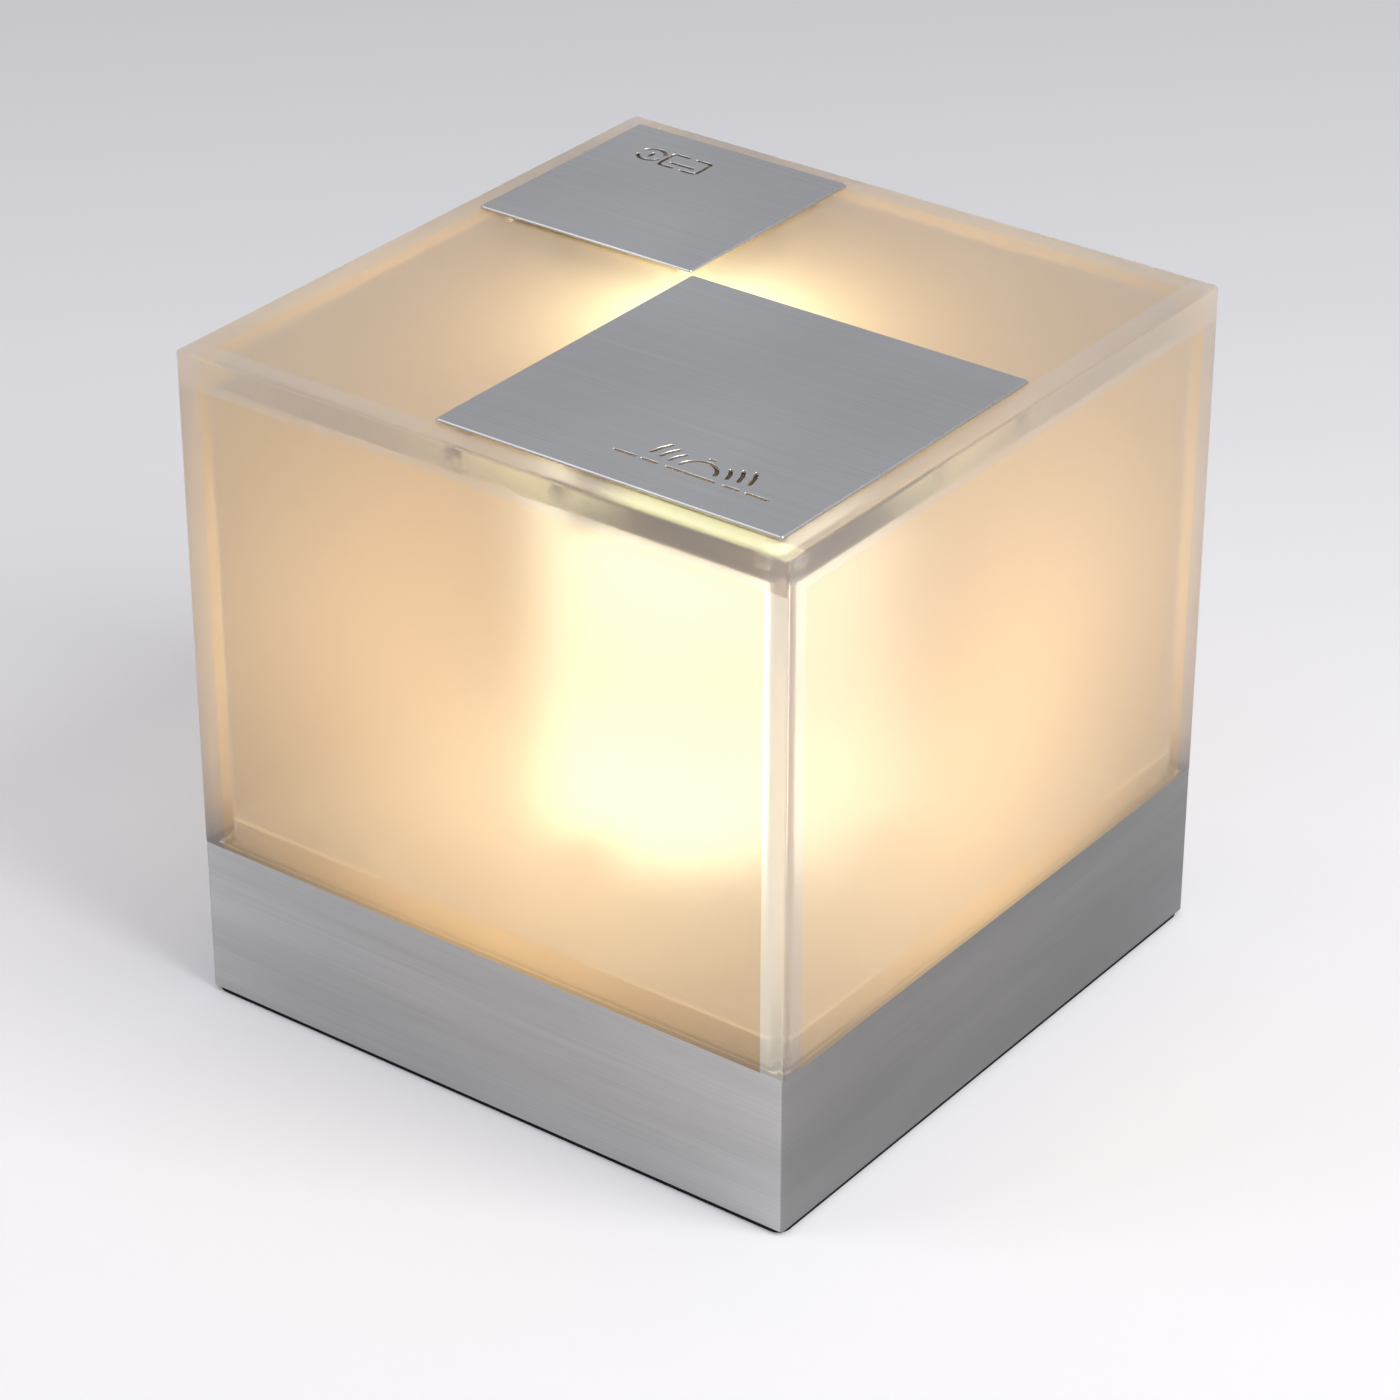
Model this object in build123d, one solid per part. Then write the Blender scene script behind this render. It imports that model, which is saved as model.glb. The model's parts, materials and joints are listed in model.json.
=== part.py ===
"""Table-top call device: a lit acrylic cube on a steel base, with two press plates on its top.

Millimetres. +Z is up and -Y is the front. The origin is the centre of the foot's underside.
"""

from build123d import *
from math import cos, pi, sin, sqrt
import os

# ---- body envelope -------------------------------------------------------------------------
body_side = 80.0  # outside width and depth of shell and collar
foot_height = 0.6  # pad that shows below the collar
collar_height = 19.1
shell_height = 60.8

# ---- modelling aid -------------------------------------------------------------------------
overrun = 1.0  # how far a cutting body runs past what it cuts
hidden_sides = 12  # small round pieces and holes that nothing shows are drawn with few sides
wide_hidden_sides = 24  # the same for wide ones
spring_sides = 14  # straight stretches in one turn of a return spring
lead_sides = 6

# ---- acrylic shell -------------------------------------------------------------------------
shell_wall = 3.0
shell_top_thickness = 4.0
shell_edge_radius = 0.4
shell_inner_radius = 0.6

# ---- steel collar and its corner lugs ------------------------------------------------------
collar_wall = 1.5
collar_corner_radius = 0.5
lug_side = 12.0
lug_thickness = 1.5
lug_corner_cut = 1.0
lug_inner_cut = 5.0

# ---- base mouldings ------------------------------------------------------------------------
collar_gap = 0.15  # between the collar and what stands inside it
moulding_corner_radius = 0.8
chassis_wall = 2.0
deck_thickness = 2.0
plinth_rise = 3.2  # deck above the collar's top edge
shell_gap = 0.15  # between the shell and the plinth
seal_thickness = 0.5
seal_side_gap = 0.1
boss_radius = 3.0
lug_gap = 0.2  # between the skirt's corner and the lug it stands on
cover_thickness = 3.0
cover_lip_height = 1.5
cover_lip_thickness = 1.2
part_gap = 0.2  # between mouldings that locate each other
rib_thickness = 1.2

# ---- foot pad ------------------------------------------------------------------------------
foot_inset = 0.2  # pad edge inside the collar's outside
foot_corner_radius = 1.5
foot_recess_inset = 4.0  # edge of the pad's raised middle inside the collar's outside
foot_recess_depth = 0.8

# ---- screws --------------------------------------------------------------------------------
screw_gap = 0.03  # radial gap between a thread and its pilot hole
clearance_gap = 0.25  # radial gap of a clearance hole
cover_screw_radius = 1.25
cover_screw_head_radius = 2.3
cover_screw_head_height = 1.4
cover_screw_length = 11.0
cover_screw_inset = 7.0  # screw axis inside the collar's outside
small_screw_radius = 1.0
small_screw_head_radius = 1.9
small_screw_head_height = 1.2
driver_recess_radius = 0.7
driver_recess_depth = 0.6

# ---- battery -------------------------------------------------------------------------------
battery_length = 56.0
battery_width = 30.0
battery_thickness = 9.5
battery_edge_radius = 2.0
battery_gap = 0.4
battery_pad_thickness = 1.0
battery_pad_inset = 3.0
battery_rib_depth = 6.0  # how far the frame of ribs reaches down past the cell's top
pressing_rib_offset = 18.0

# ---- charging coil -------------------------------------------------------------------------
coil_outer_radius = 21.0
coil_inner_radius = 10.5
coil_thickness = 0.8
ferrite_margin = 1.0  # ferrite sheet beyond the coil's rim
ferrite_thickness = 0.6
coil_frame_thickness = 1.2
coil_lead_notch = 5.0

# ---- main board ----------------------------------------------------------------------------
main_board_length = 56.0
main_board_thickness = 1.2
main_board_gap = 0.9  # to the chassis wall and to the battery's rib
standoff_length = 5.5
standoff_radius = 2.4
standoff_inset = 4.0
board_screw_length = 5.0
radio_size = (18.0, 14.0, 2.2)
radio_place = (6.0, 22.0)  # from the board's centre in X, from its front edge in Y
power_chip_size = (7.0, 7.0, 1.0)
power_chip_place = (-11.0, 22.0)
battery_connector_size = (8.0, 5.0, 3.0)
battery_connector_x = 21.0
coil_connector_size = (6.0, 4.0, 2.0)
coil_connector_gap = 2.0  # connector's centre beyond the ferrite's edge
connector_edge_inset = 12.0
lead_radius = 0.35
lead_spacing = 2.0
lead_bend_radius = 1.6

# ---- light core ----------------------------------------------------------------------------
core_radius = 17.0
core_wall = 1.8
core_hole_radius = 5.0
core_headroom = 2.7  # between the core's top and the connectors under the switch boards
core_stop_thickness = 1.6
core_stop_width = 6.0
core_stop_height = 2.0
mast_side = 14.0
mast_wall = 1.5
mast_foot_side = 20.0
mast_foot_thickness = 2.0
mast_screw_offset = 7.0
mast_screw_length = 3.6
led_strip_width = 9.0
led_strip_thickness = 1.0
led_strip_margin = 2.0  # bare mast above and below a strip
leds_per_strip = 5
led_size = (3.5, 2.8, 0.8)  # along the strip's width, up the strip, out of the strip
junction_headroom = 2.5  # between the upper connectors and the core's ceiling
junction_board_thickness = 1.0
grommet_wall = 1.6
grommet_flange = 1.4
grommet_flange_thickness = 0.6

# ---- ribbon and flexes ---------------------------------------------------------------------
ribbon_width = 6.0
ribbon_thickness = 0.3
ribbon_inset = 1.1  # ribbon's centre inside the mast's inner face
ribbon_tail = 0.6  # ribbon above the junction board
ribbon_slot_gap = 0.3
trunk_connector_size = (8.0, 3.0, 1.6)
flex_width = 3.6
flex_thickness = 0.2
flex_bend_radius = 1.5
flex_bend_share = 0.8  # most of the upper run that the bend may take
flex_offset = 2.0  # flexes leave the junction board this far from the axis
flex_connector_size = (4.6, 2.0, 1.5)  # across the flex, along the flex, height
flex_connector_inset = 5.0  # connector's centre inside the switch board's corner

# ---- press plates --------------------------------------------------------------------------
plate_thickness = 0.4
plate_travel = 0.2
plate_stop_gap = 0.05  # left between a pressed plate and the shell's top
plate_margin = 2.9  # plate edge inside the shell's outside
plate_corner_radius = 0.3
plate_edge_chamfer = 0.2
plate_corner_gap = 0.7  # between the facing corners of the two plates, in X and in Y
bill_plate_side = 29.6

# ---- what is alike under both plates -------------------------------------------------------
plunger_radius = 2.0
plunger_flange_radius = 3.2
plunger_flange_thickness = 0.6
plunger_tail = 0.7  # plunger below the clip
plunger_gap = 0.04  # radial running gap in the bush
clip_thickness = 0.5
clip_outer_radius = 3.2
clip_groove_depth = 0.5
clip_groove_gap = 0.03
clip_opening = 2.2
bush_radius = 6.0
bush_gap = 0.03
bush_top_gap = 0.1  # bush below the shell's top
bush_flange_side = 14.0
bush_flange_thickness = 0.8
bush_nose_radius = 3.5
bush_nose_length = 1.4
spring_pocket_floor = 1.2  # pocket floor above the shell's ceiling
spring_pocket_radius = 4.8
spring_radius = 4.0  # to the middle of the wire
spring_wire = 0.5
spring_turns = 2.5
spring_end_gap = 0.05
pin_radius = 1.0
pin_length = 3.0
pin_gap = 0.06
pin_end_gap = 0.4  # left below a pressed pin
pin_inset = 2.4  # pin axis inside the plate's edge
switch_side = 6.0
switch_height = 1.6
switch_wall_below = 0.6
actuator_radius = 1.75
actuator_rise = 0.3  # left above the switch when pressed
actuator_gap = 0.05
actuator_end_gap = 0.1  # left below a pressed actuator
switch_board_side = 24.0
switch_board_thickness = 1.0
bracket_plate_thickness = 1.0
bracket_leg_side = 4.0
bracket_hole_gap = 0.3
bracket_screw_length = 9.0

# ---- heights that follow -------------------------------------------------------------------
collar_top = foot_height + collar_height
shell_top = collar_top + shell_height
shell_ceiling = shell_top - shell_top_thickness
plate_low = shell_top + plate_travel + plate_stop_gap
plate_top = plate_low + plate_thickness

recess_floor = foot_height + foot_recess_depth
cover_top = foot_height + cover_thickness
lug_top = cover_top + lug_thickness
deck_top = collar_top + plinth_rise
deck_low = deck_top - deck_thickness
ledge = collar_top - seal_thickness

coil_top = cover_top + coil_thickness
ferrite_top = coil_top + ferrite_thickness
battery_low = ferrite_top + battery_pad_thickness
battery_top = battery_low + battery_thickness
upper_pad_top = battery_top + battery_pad_thickness
main_board_top = deck_low - standoff_length
main_board_low = main_board_top - main_board_thickness

pocket_floor = shell_ceiling + spring_pocket_floor
bush_low = shell_ceiling - bush_flange_thickness
nose_low = bush_low - bush_nose_length
clip_low = nose_low - clip_thickness
plunger_low = clip_low - plunger_tail
switch_top = plunger_low - plate_travel - actuator_rise
switch_board_top = switch_top - switch_height
switch_board_low = switch_board_top - switch_board_thickness
bracket_plate_low = shell_ceiling - bracket_plate_thickness

flex_connector_low = switch_board_low - flex_connector_size[2]
core_top = flex_connector_low - core_headroom
core_ceiling = core_top - core_wall
junction_connector_top = core_ceiling - junction_headroom
junction_board_top = junction_connector_top - flex_connector_size[2]
mast_top = junction_board_top - junction_board_thickness
mast_foot_top = deck_top + mast_foot_thickness

# ---- plan sizes that follow ----------------------------------------------------------------
shell_inside = body_side - 2 * shell_wall
collar_inside = body_side - 2 * collar_wall
moulding_side = collar_inside - 2 * collar_gap
chassis_inside = moulding_side - 2 * chassis_wall
plinth_side = shell_inside - 2 * shell_gap
plinth_inside = plinth_side - 2 * chassis_wall
cover_screw_place = body_side / 2 - cover_screw_inset
core_stop_place = core_radius + part_gap + core_stop_thickness / 2
ferrite_side = 2 * (coil_outer_radius + ferrite_margin)
coil_connector_x = -ferrite_side / 2 - coil_connector_gap
mast_inside = mast_side - 2 * mast_wall
ribbon_y = mast_inside / 2 - ribbon_inset

battery_y = -chassis_inside / 2 + rib_thickness + battery_gap + battery_width / 2
battery_frame_length = battery_length + 2 * (battery_gap + rib_thickness)
battery_frame_width = battery_width + 2 * (battery_gap + rib_thickness)
main_board_front = battery_y + battery_frame_width / 2 + main_board_gap
main_board_back = chassis_inside / 2 - main_board_gap
main_board_y = (main_board_front + main_board_back) / 2
main_board_width = main_board_back - main_board_front
connector_y = main_board_front + connector_edge_inset

call_plate_side = body_side - 2 * plate_margin - plate_corner_gap - bill_plate_side
call_plate_place = body_side / 2 - plate_margin - call_plate_side / 2
bill_plate_place = body_side / 2 - plate_margin - bill_plate_side / 2
call_centre = (call_plate_place, -call_plate_place)
bill_centre = (-bill_plate_place, bill_plate_place)

BASE = (Align.CENTER, Align.CENTER, Align.MIN)
CORNERS = ((1, 1), (-1, 1), (-1, -1), (1, -1))


# ---- helpers -------------------------------------------------------------------------------
def block(x_size, y_size, z_low, z_high, x=0.0, y=0.0):
    """Upright block between two heights, centred on (x, y)."""
    return Pos(x, y, z_low) * Box(x_size, y_size, z_high - z_low, align=BASE)


def rounded_block(side, radius, z_low, z_high):
    """Square block on the axis with rounded upright edges."""
    return extrude(Pos(0, 0, z_low) * RectangleRounded(side, side, radius), z_high - z_low)


def rod(radius, z_low, z_high, x=0.0, y=0.0, sides=hidden_sides):
    """Upright rod or hole between two heights, with few sides."""
    return extrude(Pos(x, y, z_low) * RegularPolygon(radius, sides), z_high - z_low)


def ring(outer, inner, z_low, z_high, sides=hidden_sides):
    """Upright ring on the axis between two heights, with few sides."""
    profile = RegularPolygon(outer, sides) - RegularPolygon(inner, sides)
    return extrude(Pos(0, 0, z_low) * profile, z_high - z_low)


def countersink(radius, z_low):
    """Head of a cover screw, or its seat, that narrows upwards from a radius."""
    wide = Pos(0, 0, z_low) * RegularPolygon(radius, hidden_sides)
    narrow_radius = radius - cover_screw_head_radius + cover_screw_radius
    narrow = Pos(0, 0, z_low + cover_screw_head_height) * RegularPolygon(narrow_radius, hidden_sides)
    return loft([wide, narrow], ruled=True)


def four_ways(shape):
    """Four copies of what stands on the +X side, a quarter turn apart round the axis."""
    group = Part()
    for angle in range(0, 360, 90):
        group += Rot(0, 0, angle) * shape
    return group


def pan_screw(length, head_low, x=0.0, y=0.0):
    """Small pan-head screw that points up, with its head's underside lowest."""
    head_top = head_low + small_screw_head_height
    screw = rod(small_screw_head_radius, head_low, head_top, x, y)
    screw += rod(small_screw_radius, head_top, head_top + length, x, y)
    return screw - rod(driver_recess_radius, head_low, head_low + driver_recess_depth, x, y)


def save(name, shape):
    """Writes one piece, or one group of alike pieces, as a STEP file."""
    export_step(shape, f"parts/{name}.step")


# ---- casing --------------------------------------------------------------------------------
def switch_module_cuts(centre, plate_side):
    """What a button needs cut in the shell's top: bush hole, pin holes and screw holes."""
    x, y = centre
    cuts = rod(bush_radius + bush_gap, shell_ceiling - overrun, shell_top + overrun, x, y)
    pin_low = plate_low - pin_length - plate_travel - pin_end_gap
    for dx, dy in pin_places(plate_side):
        cuts += rod(pin_radius + pin_gap, pin_low, shell_top + overrun, x + dx, y + dy)
    screw_top = switch_board_low + bracket_screw_length + screw_gap
    for dx, dy in bracket_screw_places():
        cuts += rod(small_screw_radius + screw_gap, shell_ceiling - overrun, screw_top, x + dx, y + dy)
    return cuts


def diffuser_shell():
    """Five-sided acrylic box, open below, with the holes that the two buttons need."""
    outside = block(body_side, body_side, collar_top, shell_top)
    outside = fillet(
        outside.edges().filter_by(Axis.Z) + outside.faces().sort_by(Axis.Z)[-1].edges(),
        shell_edge_radius,
    )
    inside = rounded_block(shell_inside, shell_inner_radius, collar_top - overrun, shell_ceiling)
    shell = outside - inside
    shell -= switch_module_cuts(call_centre, call_plate_side)
    return shell - switch_module_cuts(bill_centre, bill_plate_side)


def base_collar():
    """Brushed steel band, one square tube."""
    outside = rounded_block(body_side, collar_corner_radius, foot_height, collar_top)
    return outside - block(collar_inside, collar_inside, foot_height - overrun,
                           collar_top + overrun)


def collar_lugs():
    """Corner plates welded inside the collar, each with a hole for a cover screw."""
    lugs = Part()
    centre = collar_inside / 2 - lug_side / 2
    for sx, sy in CORNERS:
        lug = block(lug_side, lug_side, cover_top, lug_top, sx * centre, sy * centre)
        upright = lug.edges().filter_by(Axis.Z).sort_by(lambda e: e.center().dot(Vector(sx, sy, 0)))
        lug = chamfer(upright[-1], lug_corner_cut)
        upright = lug.edges().filter_by(Axis.Z).sort_by(lambda e: e.center().dot(Vector(sx, sy, 0)))
        lug = chamfer(upright[0], lug_inner_cut)
        lug -= rod(
            cover_screw_radius + clearance_gap,
            cover_top - overrun,
            lug_top + overrun,
            sx * cover_screw_place,
            sy * cover_screw_place,
        )
        lugs += lug
    return lugs


def base_chassis():
    """Moulded carrier: plinth and deck inside the shell, skirt inside the collar."""
    skirt = rounded_block(moulding_side, moulding_corner_radius, cover_top, ledge)
    plinth = rounded_block(plinth_side, moulding_corner_radius, ledge, deck_top)
    body = skirt + plinth
    body -= block(plinth_inside, plinth_inside, ledge - chassis_wall, deck_low)
    body -= block(chassis_inside, chassis_inside, cover_top - overrun, ledge - chassis_wall)

    # four stops round the foot of the light core, on the deck
    stop = block(core_stop_thickness, core_stop_width, deck_top, deck_top + core_stop_height,
                 core_stop_place)
    body += four_ways(stop)

    # frame of ribs round the battery, and two ribs that press on its upper pad
    rib_low = battery_top - battery_rib_depth
    frame = block(battery_frame_length, battery_frame_width, rib_low, deck_low, 0, battery_y)
    frame -= block(
        battery_length + 2 * battery_gap,
        battery_width + 2 * battery_gap,
        rib_low - overrun,
        deck_low,
        0,
        battery_y,
    )
    body += frame
    for side in (-1, 1):
        body += block(rib_thickness, battery_width + 2 * battery_gap, upper_pad_top, deck_low,
                      side * pressing_rib_offset, battery_y)

    # board standoffs, and corner bosses with a gusset to each wall
    for x, y in standoff_places():
        body += rod(standoff_radius, main_board_top, deck_low, x, y)
        body -= rod(small_screw_radius + screw_gap, main_board_top - overrun,
                    main_board_low + board_screw_length + screw_gap, x, y)
    gusset = chassis_inside / 2 - cover_screw_place + overrun
    for sx, sy in CORNERS:
        x, y = sx * cover_screw_place, sy * cover_screw_place
        body += rod(boss_radius, lug_top, deck_low, x, y)
        body += block(gusset, rib_thickness, lug_top, ledge, x + sx * gusset / 2, y)
        body += block(rib_thickness, gusset, lug_top, ledge, x, y + sy * gusset / 2)
        body -= rod(cover_screw_radius + screw_gap, lug_top - overrun,
                    recess_floor + cover_screw_length + screw_gap, x, y)
        # the skirt's corner stands on the lug
        room = lug_side + lug_gap
        corner = sx * (collar_inside / 2 - room / 2), sy * (collar_inside / 2 - room / 2)
        body -= block(room, room, cover_top - overrun, lug_top, *corner)

    # the ribbon's slot and the screws of the mast
    body -= block(ribbon_width + 2 * ribbon_slot_gap, ribbon_thickness + 2 * ribbon_slot_gap,
                  deck_low - overrun, deck_top + overrun, 0, ribbon_y)
    head_room = deck_low - small_screw_head_height - clearance_gap
    for x, y in mast_screw_places():
        body -= rod(small_screw_radius + clearance_gap, deck_low - overrun, deck_top + overrun, x, y)
        body -= rod(small_screw_head_radius + clearance_gap, head_room, deck_low, x, y)
    return body


def shell_seal():
    """Flat gasket on the chassis ledge, under the shell's foot."""
    inner = shell_inside + 2 * seal_side_gap
    outer = moulding_side - 2 * seal_side_gap
    seal = rounded_block(outer, moulding_corner_radius, ledge, collar_top)
    return seal - block(inner, inner, ledge - overrun, collar_top + overrun)


def bottom_cover():
    """Moulded base plate with a lip, the coil's frame and a rail for the battery pad."""
    cover = rounded_block(moulding_side, moulding_corner_radius, foot_height, cover_top)
    lip_outer = chassis_inside - 2 * part_gap
    lip_inner = lip_outer - 2 * cover_lip_thickness
    lip = block(lip_outer, lip_outer, cover_top, cover_top + cover_lip_height)
    lip -= block(lip_inner, lip_inner, cover_top - overrun, cover_top + cover_lip_height + overrun)
    notch = lug_side + collar_wall + part_gap
    for sx, sy in CORNERS:
        lip -= block(2 * notch, 2 * notch, cover_top, cover_top + cover_lip_height + overrun,
                     sx * body_side / 2, sy * body_side / 2)
    cover += lip

    frame_inner = ferrite_side + 2 * part_gap
    frame_outer = frame_inner + 2 * coil_frame_thickness
    cover += block(frame_outer, frame_outer, cover_top, ferrite_top)
    cover -= block(frame_inner, frame_inner, cover_top, ferrite_top + overrun)
    notch_x = -(frame_inner + coil_frame_thickness) / 2
    cover -= block(coil_lead_notch, coil_lead_notch, cover_top, ferrite_top + overrun,
                   notch_x, notch_x * connector_y / coil_connector_x)
    rail_y = battery_y - battery_width / 2 + battery_pad_inset + rib_thickness
    cover += block(battery_length - 2 * battery_pad_inset, rib_thickness, cover_top, ferrite_top,
                   0, rail_y)

    recess = body_side - 2 * foot_recess_inset
    cover -= block(recess, recess, foot_height - overrun, recess_floor)
    for sx, sy in CORNERS:
        x, y = sx * cover_screw_place, sy * cover_screw_place
        cover -= rod(cover_screw_radius + clearance_gap, foot_height, cover_top + overrun, x, y)
        cover -= Pos(x, y, 0) * countersink(cover_screw_head_radius + screw_gap, recess_floor)
    return cover


def foot_pad():
    """Rubber pad whose raised middle sits in the cover's recess."""
    side = body_side - 2 * foot_inset
    pad = rounded_block(side, foot_corner_radius, 0, foot_height)
    raised = body_side - 2 * (foot_recess_inset + part_gap)
    return pad + block(raised, raised, foot_height, recess_floor)


def cover_screws():
    """Four countersunk screws that clamp cover, lugs and chassis."""
    screws = Part()
    for sx, sy in CORNERS:
        x, y = sx * cover_screw_place, sy * cover_screw_place
        screw = Pos(x, y, 0) * countersink(cover_screw_head_radius, recess_floor)
        screw += rod(cover_screw_radius, recess_floor, recess_floor + cover_screw_length, x, y)
        recess = RegularPolygon(2 * driver_recess_radius, 6)
        screw -= extrude(Pos(x, y, recess_floor) * recess, driver_recess_depth)
        screws += screw
    return screws


# ---- power ---------------------------------------------------------------------------------
def battery_cell():
    """Flat rechargeable cell."""
    cell = block(battery_length, battery_width, battery_low, battery_top, 0, battery_y)
    return fillet(cell.edges().filter_by(Axis.X), battery_edge_radius)


def battery_pad(z_low):
    """Soft pad between the cell and the moulding that holds it."""
    return block(
        battery_length - 2 * battery_pad_inset,
        battery_width - 2 * battery_pad_inset,
        z_low,
        z_low + battery_pad_thickness,
        0,
        battery_y,
    )


def bent_lead(points, radius, bend_radius, plane):
    """Wire along straight runs with an arc at each corner, drawn in a plane."""
    route = plane * FilletPolyline(*points, radius=bend_radius)
    start = Plane(origin=route @ 0, z_dir=route % 0)
    return sweep(start * RegularPolygon(radius, lead_sides), path=route)


def battery_leads():
    """Two wires from the cell's back face, under the ribs, up to their connector."""
    back = battery_y + battery_width / 2
    height = battery_top - battery_rib_depth - 2 * lead_radius
    connector_low = main_board_low - battery_connector_size[2]
    leads = Part()
    for side in (-1, 1):
        plane = Plane(origin=(battery_connector_x + side * lead_spacing / 2, 0, 0),
                      x_dir=(0, 1, 0), z_dir=(1, 0, 0))
        points = ((back, height), (connector_y, height), (connector_y, connector_low))
        leads += bent_lead(points, lead_radius, lead_bend_radius, plane)
    return leads


def coil_lead_direction():
    """Unit vector from the axis towards the coil's connector."""
    length = sqrt(coil_connector_x**2 + connector_y**2)
    return coil_connector_x / length, connector_y / length


def coil_leads():
    """Two wires from the coil's rim, out through the frame's notch, up to their connector."""
    lead_x, lead_y = coil_lead_direction()
    reach = sqrt(coil_connector_x**2 + connector_y**2)
    height = cover_top + coil_thickness / 2
    connector_low = main_board_low - coil_connector_size[2]
    leads = Part()
    for side in (-1, 1):
        offset = side * lead_spacing / 2
        rim = sqrt(coil_outer_radius**2 - offset**2)
        plane = Plane(origin=(-lead_y * offset, lead_x * offset, 0),
                      x_dir=(lead_x, lead_y, 0), z_dir=(lead_y, -lead_x, 0))
        points = ((rim, height), (reach, height), (reach, connector_low))
        leads += bent_lead(points, lead_radius, lead_bend_radius, plane)
    return leads


def charging_coil():
    """Flat coil that takes charge through the bottom cover."""
    return ring(coil_outer_radius, coil_inner_radius, cover_top, coil_top, wide_hidden_sides)


def coil_ferrite():
    """Shield between the coil and the cell."""
    return block(ferrite_side, ferrite_side, coil_top, ferrite_top)


# ---- main board ----------------------------------------------------------------------------
def standoff_places():
    """Centres of the four standoffs that carry the main board."""
    x = main_board_length / 2 - standoff_inset
    y = main_board_width / 2 - standoff_inset
    return [(sx * x, main_board_y + sy * y) for sx, sy in CORNERS]


def main_board():
    """Board with the radio and the charger, hung under the deck."""
    board = block(main_board_length, main_board_width, main_board_low, main_board_top, 0,
                  main_board_y)
    for x, y in standoff_places():
        board -= rod(small_screw_radius + clearance_gap, main_board_low - overrun,
                     main_board_top + overrun, x, y)
    return board


def board_screws():
    """Four screws up through the main board."""
    screws = Part()
    for x, y in standoff_places():
        screws += pan_screw(board_screw_length, main_board_low - small_screw_head_height, x, y)
    return screws


def on_board_underside(size, x, y):
    """Component of a size that hangs under the main board."""
    return block(size[0], size[1], main_board_low - size[2], main_board_low, x, y)


def trunk_connector():
    """Ribbon connector on the main board's upper side, below the mast."""
    length, width, height = trunk_connector_size
    return block(length, width, main_board_top, main_board_top + height, 0, ribbon_y)


# ---- light core ----------------------------------------------------------------------------
def light_core():
    """Opal thimble over the lamps, open below."""
    core = Pos(0, 0, deck_top) * Cylinder(core_radius, core_top - deck_top, align=BASE)
    core -= rod(core_radius - core_wall, deck_top - overrun, core_ceiling, sides=wide_hidden_sides)
    return core - rod(core_hole_radius, core_ceiling - overrun, core_top + overrun)


def core_grommet():
    """Soft ring in the core's top, round the two flexes."""
    outer = core_hole_radius - screw_gap
    grommet = rod(outer, core_ceiling, core_top)
    for z_low in (core_ceiling - grommet_flange_thickness, core_top):
        grommet += rod(outer + grommet_flange, z_low, z_low + grommet_flange_thickness)
    return grommet - rod(outer - grommet_wall, core_ceiling - core_wall, core_top + core_wall)


def mast_screw_places():
    """Centres of the two screws that hold the mast's foot."""
    return [(side * mast_screw_offset, side * mast_screw_offset) for side in (-1, 1)]


def led_mast():
    """Square aluminium tube on a square foot; it carries the lamps and cools them."""
    mast = block(mast_foot_side, mast_foot_side, deck_top, mast_foot_top)
    mast += block(mast_side, mast_side, deck_top, mast_top)
    mast -= block(mast_inside, mast_inside, deck_top - overrun, mast_top + overrun)
    for x, y in mast_screw_places():
        mast -= rod(small_screw_radius + screw_gap, deck_top - overrun, mast_foot_top + overrun, x, y)
    return mast


def mast_screws():
    """Two screws from below the deck into the mast's foot."""
    screws = Part()
    for x, y in mast_screw_places():
        screws += pan_screw(mast_screw_length, deck_low - small_screw_head_height, x, y)
    return screws


def led_strips():
    """Four narrow boards, one on each face of the mast."""
    x = mast_side / 2 + led_strip_thickness / 2
    strip = block(led_strip_thickness, led_strip_width, mast_foot_top + led_strip_margin,
                  mast_top - led_strip_margin, x)
    return four_ways(strip)


def led_emitters():
    """Warm white lamps, evenly spaced up each strip."""
    across, along, out = led_size
    x = mast_side / 2 + led_strip_thickness + out / 2
    strip_low = mast_foot_top + led_strip_margin
    pitch = (mast_top - led_strip_margin - strip_low) / leds_per_strip
    column = Part()
    for index in range(leds_per_strip):
        z_low = strip_low + (index + 0.5) * pitch - along / 2
        column += block(out, across, z_low, z_low + along, x)
    return four_ways(column)


def junction_board():
    """Small board on top of the mast, where the ribbon meets the two flexes."""
    board = block(mast_side, mast_side, mast_top, junction_board_top)
    slot_width = ribbon_thickness + 2 * ribbon_slot_gap
    return board - block(ribbon_width + 2 * ribbon_slot_gap, slot_width, mast_top - overrun,
                         junction_board_top + overrun, 0, ribbon_y)


# ---- ribbon and flexes ---------------------------------------------------------------------
def trunk_ribbon():
    """Ribbon from the main board up inside the mast."""
    return block(ribbon_width, ribbon_thickness, main_board_top + trunk_connector_size[2],
                 junction_board_top + ribbon_tail, 0, ribbon_y)


def diagonal_plane(sign):
    """Upright plane through the axis; its x runs towards the call plate, or the bill plate."""
    towards = Vector(sign, -sign, 0).normalized()
    return Plane(origin=(0, 0, 0), x_dir=towards, z_dir=towards.cross(Vector(0, 0, 1)))


def switch_connector_reach(centre):
    """Distance from the axis to the connector under a switch board's nearest corner."""
    to_centre = (abs(centre[0]) + abs(centre[1])) / sqrt(2)
    return to_centre - switch_board_side / sqrt(2) + flex_connector_inset


def flex_connectors():
    """Two connectors on the junction board and one under each switch board."""
    across, along, height = flex_connector_size
    group = Part()
    for sign, centre in ((1, call_centre), (-1, bill_centre)):
        turn = Rot(0, 0, -45)
        shape = Box(along, across, height, align=BASE)
        for reach, z_low in (
            (flex_offset, junction_board_top),
            (switch_connector_reach(centre), flex_connector_low),
        ):
            step = sign * reach / sqrt(2)
            group += Pos(step, -step, z_low) * turn * shape
    return group


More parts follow.
